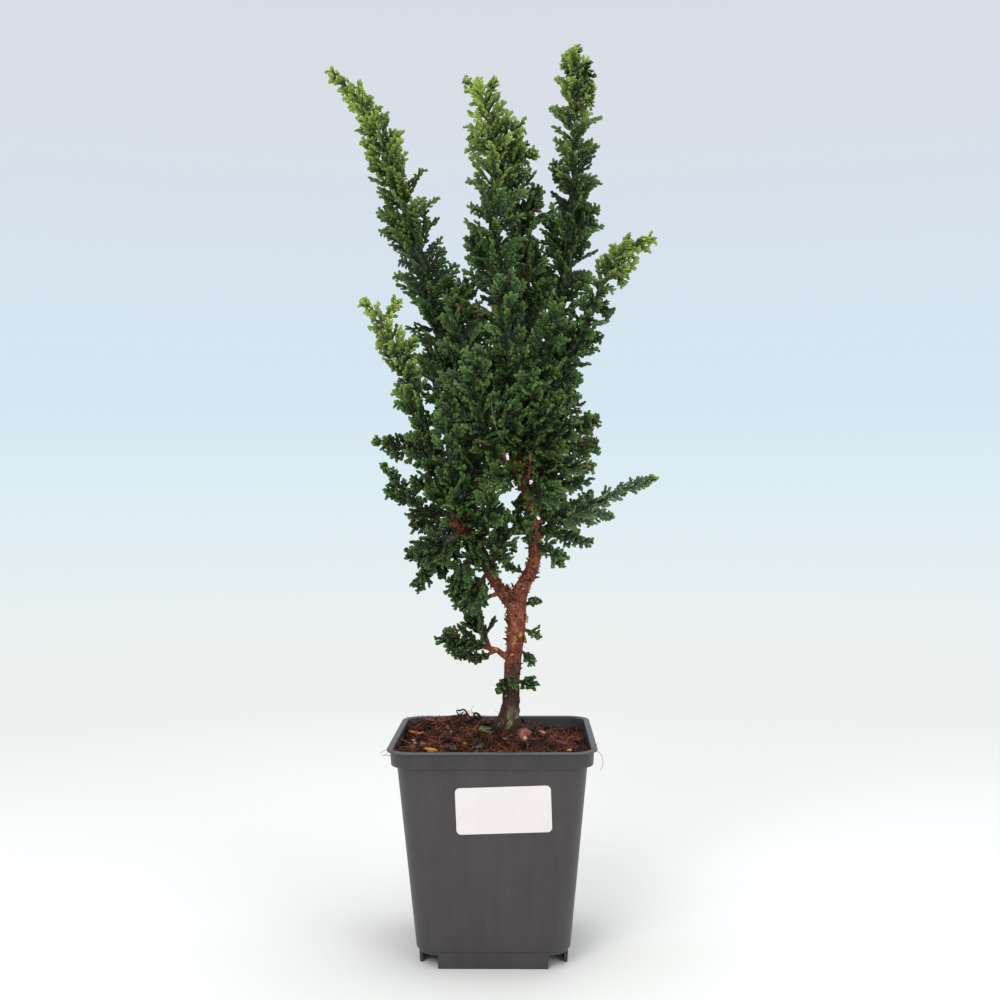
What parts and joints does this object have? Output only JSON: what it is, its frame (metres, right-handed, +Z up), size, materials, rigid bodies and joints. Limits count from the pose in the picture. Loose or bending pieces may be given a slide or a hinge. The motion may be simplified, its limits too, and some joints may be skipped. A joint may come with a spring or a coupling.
{
  "type": "potted dwarf hinoki cypress bonsai",
  "caption": "Young forked dwarf hinoki cypress with upright rope-like leafy leaders, rooted in potting soil in a square tapered dark-grey nursery pot with a blank white sticker",
  "frame": {"origin": "on the ground, at the middle of the pot's foot", "axes": "+Z up along the trunk; -Y is the front, towards the viewer of the pot wall with the sticker; +X to the right as seen from the front"},
  "size_m": [0.1495, 0.0907, 0.4118],
  "materials": {
    "pot_plastic": "satin moulded dark grey plastic",
    "label_paper": "blank white self-adhesive paper",
    "potting_soil": "loose dark fibrous peat and bark",
    "bark": "rough flaking red-brown bark",
    "leaves": "waxy scale leaves, dark green, yellow-green at the tips"
  },
  "bodies": {
    "root": {"pot": "pot_plastic", "label": "label_paper", "soil": "potting_soil", "wood": "bark", "arm_right": "leaves", "fork_shoot": "leaves", "front_left": "leaves", "front_middle": "leaves", "front_right": "leaves", "heart_high": "leaves", "heart_left": "leaves", "heart_right": "leaves", "heart_up": "leaves", "leader_left": "leaves", "leader_low_left": "leaves", "leader_middle": "leaves", "leader_right": "leaves", "left_front": "leaves", "left_inner": "leaves", "limb_back": "leaves", "limb_front": "leaves", "limb_inner": "leaves", "limb_right": "leaves", "limb_side": "leaves", "low_spray": "leaves", "low_spray_down": "leaves", "low_spray_up": "leaves", "middle_back": "leaves", "rear_left": "leaves", "rear_limb": "leaves", "rear_low_left": "leaves", "rear_low_right": "leaves", "rear_middle": "leaves", "rear_outer": "leaves", "rear_right": "leaves", "right_back": "leaves", "right_front": "leaves", "right_low": "leaves", "right_middle": "leaves", "right_top": "leaves", "shoot_left": "leaves", "shoot_low": "leaves", "shoot_middle": "leaves", "shoot_top": "leaves", "shoot_upper": "leaves", "side_left": "leaves", "side_left_low": "leaves", "skirt_front": "leaves", "skirt_heart": "leaves", "skirt_left": "leaves", "skirt_outer": "leaves", "skirt_right": "leaves", "skirt_under": "leaves", "spur_back": "leaves", "spur_down": "leaves", "spur_low": "leaves", "spur_right": "leaves"}
  },
  "joints": []
}
